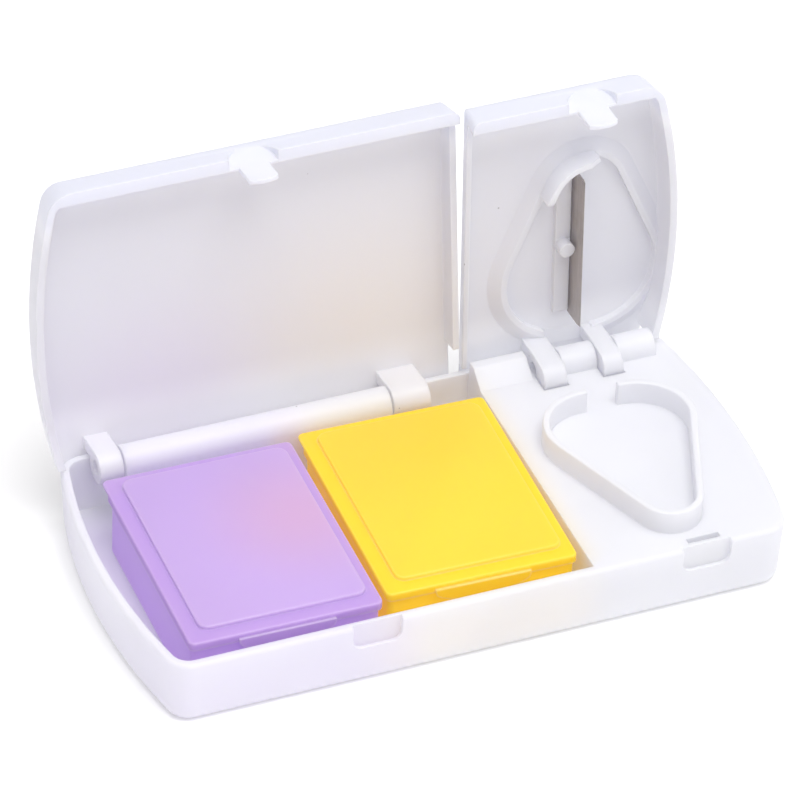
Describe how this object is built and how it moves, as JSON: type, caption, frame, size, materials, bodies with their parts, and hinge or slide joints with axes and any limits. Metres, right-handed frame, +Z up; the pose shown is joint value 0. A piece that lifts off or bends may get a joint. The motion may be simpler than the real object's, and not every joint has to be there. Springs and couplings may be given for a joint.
{
  "type": "pill splitter",
  "caption": "Pill splitter: a shallow tray with a hinged storage lid over lift-out pill boxes and a smaller hinged lid that presses a blade into a cradle.",
  "frame": {"origin": "middle of the tray's footprint on the table", "axes": "+X along the tray from the pill boxes to the cutter, +Y from the latches to the hinges, +Z up"},
  "size_m": [0.1283, 0.0738, 0.0731],
  "materials": {
    "tray_plastic": "satin moulded polypropylene, slightly translucent",
    "lid_plastic": "satin moulded polypropylene, slightly translucent",
    "blade_steel": "ground steel",
    "purple_plastic": "semi-gloss tinted translucent plastic",
    "yellow_plastic": "semi-gloss tinted translucent plastic"
  },
  "bodies": {
    "tray": {"base_tray": "tray_plastic"},
    "large_lid": {"large_lid": "lid_plastic"},
    "cutter_lid": {"cutter_lid": "lid_plastic", "blade": "blade_steel"},
    "purple_box": {"purple_box": "purple_plastic"},
    "purple_box_lid": {"purple_box_lid": "purple_plastic"},
    "yellow_box": {"yellow_box": "yellow_plastic"},
    "yellow_box_lid": {"yellow_box_lid": "yellow_plastic"}
  },
  "joints": [
    {"name": "large_lid_hinge", "type": "hinge", "parent": "tray", "child": "large_lid", "pos_m": [0, 0.0268, 0.0144], "axis": [-1, 0, 0], "range_deg": [-97.6, 2]},
    {"name": "cutter_lid_hinge", "type": "hinge", "parent": "tray", "child": "cutter_lid", "pos_m": [0, 0.0268, 0.0144], "axis": [-1, 0, 0], "range_deg": [-92.6, 5]},
    {"name": "purple_box_lift", "type": "slide", "parent": "tray", "child": "purple_box", "axis": [0, 0, 1], "range_m": [0, 0.03]},
    {"name": "yellow_box_lift", "type": "slide", "parent": "tray", "child": "yellow_box", "axis": [0, 0, 1], "range_m": [0, 0.03]},
    {"name": "purple_box_lid_hinge", "type": "hinge", "parent": "purple_box", "child": "purple_box_lid", "pos_m": [-0.03665, 0.01904, 0.01325], "axis": [-0.9999, 0.014, 0], "range_deg": [0, 90]},
    {"name": "yellow_box_lid_hinge", "type": "hinge", "parent": "yellow_box", "child": "yellow_box_lid", "pos_m": [0.00232, 0.0197, 0.01325], "axis": [-0.9997, 0.0262, 0], "range_deg": [0, 90]}
  ]
}
